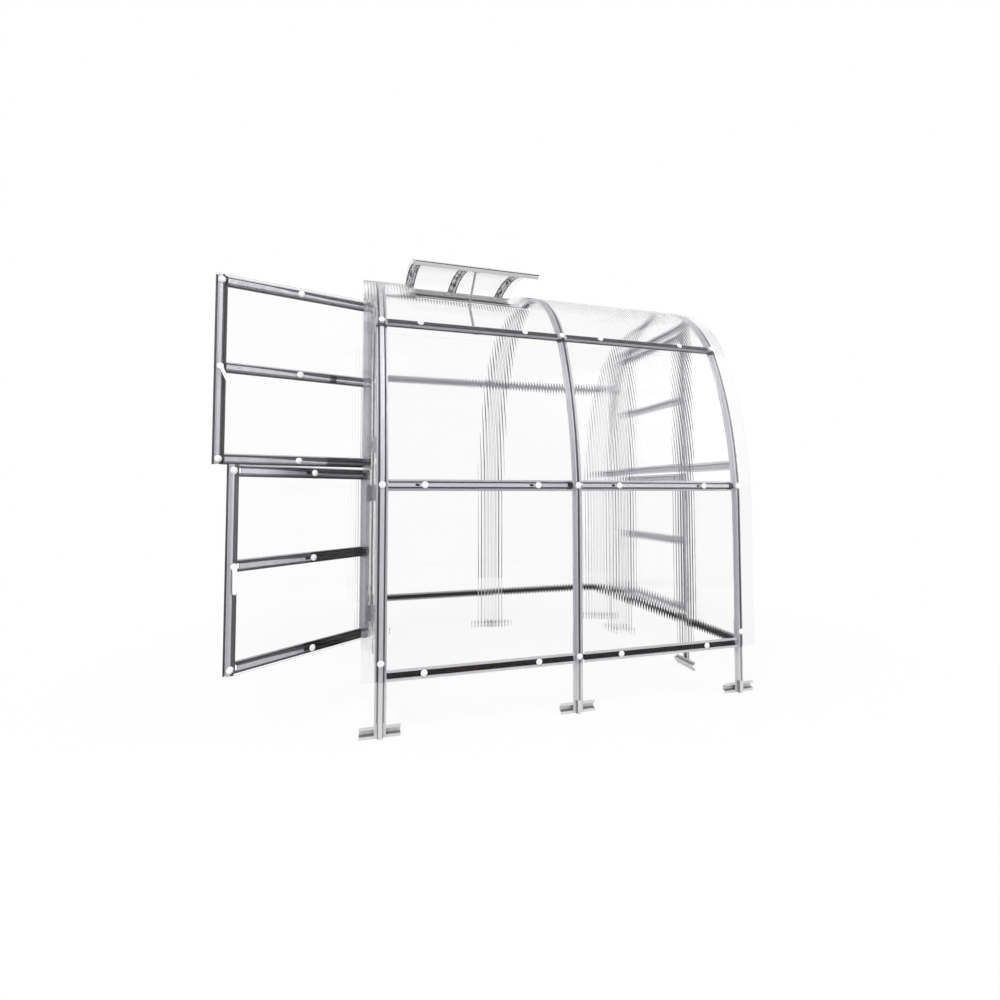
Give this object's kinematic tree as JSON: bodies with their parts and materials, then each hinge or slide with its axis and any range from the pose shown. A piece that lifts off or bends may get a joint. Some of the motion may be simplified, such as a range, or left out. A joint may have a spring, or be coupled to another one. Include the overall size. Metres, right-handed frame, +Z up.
{
  "type": "arched garden greenhouse",
  "caption": "Walk-in arched greenhouse of bent hat-section steel ribs on splayed T feet, with a clear ribbed cover, stable doors at both ends and a roof vent propped open.",
  "frame": {"origin": "centre of the footprint between the arches, level with the underside of the feet", "axes": "+X along the ridge towards the end with the closed doors, -Y towards the long side seen in the picture, +Z up"},
  "size_m": [2.8942, 1.8186, 2.5024],
  "materials": {
    "zinc_steel": "bright zinc coat with faint spangle",
    "pale_steel": "pale matt zinc coat",
    "dark_steel": "dark satin",
    "clear_sheet": "clear twin-wall plastic with fine flutes",
    "white_plastic": "smooth white"
  },
  "bodies": {
    "house": {"arch_left": "zinc_steel", "arch_middle": "zinc_steel", "arch_right": "zinc_steel", "front_legs": "pale_steel", "back_legs": "pale_steel", "left_door_legs": "pale_steel", "right_door_legs": "pale_steel", "base_rails": "dark_steel", "side_rails": "zinc_steel", "purlins": "zinc_steel", "ridge_rail": "zinc_steel", "left_door_posts": "zinc_steel", "right_door_posts": "zinc_steel", "left_end_base_rail": "dark_steel", "right_end_base_rail": "dark_steel", "left_end_rails": "zinc_steel", "right_end_rails": "zinc_steel", "cover_front_wall": "clear_sheet", "cover_front_bend": "clear_sheet", "cover_front_roof": "clear_sheet", "cover_back_roof": "clear_sheet", "cover_back_bend": "clear_sheet", "cover_back_wall": "clear_sheet", "left_end_side_sheets": "clear_sheet", "left_end_top_sheet": "clear_sheet", "right_end_side_sheets": "clear_sheet", "right_end_top_sheet": "clear_sheet", "left_hinges": "zinc_steel", "right_hinges": "zinc_steel", "vent_sash": "zinc_steel", "vent_sheet": "clear_sheet", "vent_stay": "zinc_steel"},
    "left_upper_door": {"left_upper_door_frame": "zinc_steel", "left_upper_door_sheet": "clear_sheet", "left_upper_door_hinges": "zinc_steel"},
    "left_upper_latch": {"left_upper_latch": "white_plastic"},
    "left_lower_door": {"left_lower_door_frame": "zinc_steel", "left_lower_door_sheet": "clear_sheet", "left_lower_door_hinges": "zinc_steel"},
    "left_lower_latch": {"left_lower_latch": "white_plastic"},
    "right_upper_door": {"right_upper_door_frame": "zinc_steel", "right_upper_door_sheet": "clear_sheet", "right_upper_door_hinges": "zinc_steel"},
    "right_upper_latch": {"right_upper_latch": "white_plastic"},
    "right_lower_door": {"right_lower_door_frame": "zinc_steel", "right_lower_door_sheet": "clear_sheet", "right_lower_door_hinges": "zinc_steel"},
    "right_lower_latch": {"right_lower_latch": "white_plastic"}
  },
  "joints": [
    {"name": "left_upper_door_hinge", "type": "hinge", "parent": "house", "child": "left_upper_door", "pos_m": [-1.024, -0.3985, 1.74], "axis": [0, 0, 1], "range_deg": [-105, 35]},
    {"name": "left_upper_latch_turn", "type": "hinge", "parent": "left_upper_door", "child": "left_upper_latch", "pos_m": [-1.76749, -0.58529, 1.75964], "axis": [0.2588, -0.9659, 0], "range_deg": [-115, 0]},
    {"name": "left_lower_door_hinge", "type": "hinge", "parent": "house", "child": "left_lower_door", "pos_m": [-1.024, -0.3985, 0.8], "axis": [0, 0, 1], "range_deg": [-128, 12]},
    {"name": "left_lower_latch_turn", "type": "hinge", "parent": "left_lower_door", "child": "left_lower_latch", "pos_m": [-1.6354, -0.86095, 0.81141], "axis": [0.6157, -0.788, 0], "range_deg": [-90, 0]},
    {"name": "right_upper_door_hinge", "type": "hinge", "parent": "house", "child": "right_upper_door", "pos_m": [1.024, -0.3985, 1.74], "axis": [0, 0, -1], "range_deg": [0, 140]},
    {"name": "right_upper_latch_turn", "type": "hinge", "parent": "right_upper_door", "child": "right_upper_latch", "pos_m": [1.012, 0.368, 1.75964], "axis": [-1, 0, 0], "range_deg": [-90, 0]},
    {"name": "right_lower_door_hinge", "type": "hinge", "parent": "house", "child": "right_lower_door", "pos_m": [1.024, -0.3985, 0.8], "axis": [0, 0, -1], "range_deg": [0, 140]},
    {"name": "right_lower_latch_turn", "type": "hinge", "parent": "right_lower_door", "child": "right_lower_latch", "pos_m": [1.012, 0.368, 0.81141], "axis": [-1, 0, 0], "range_deg": [-90, 0]}
  ]
}
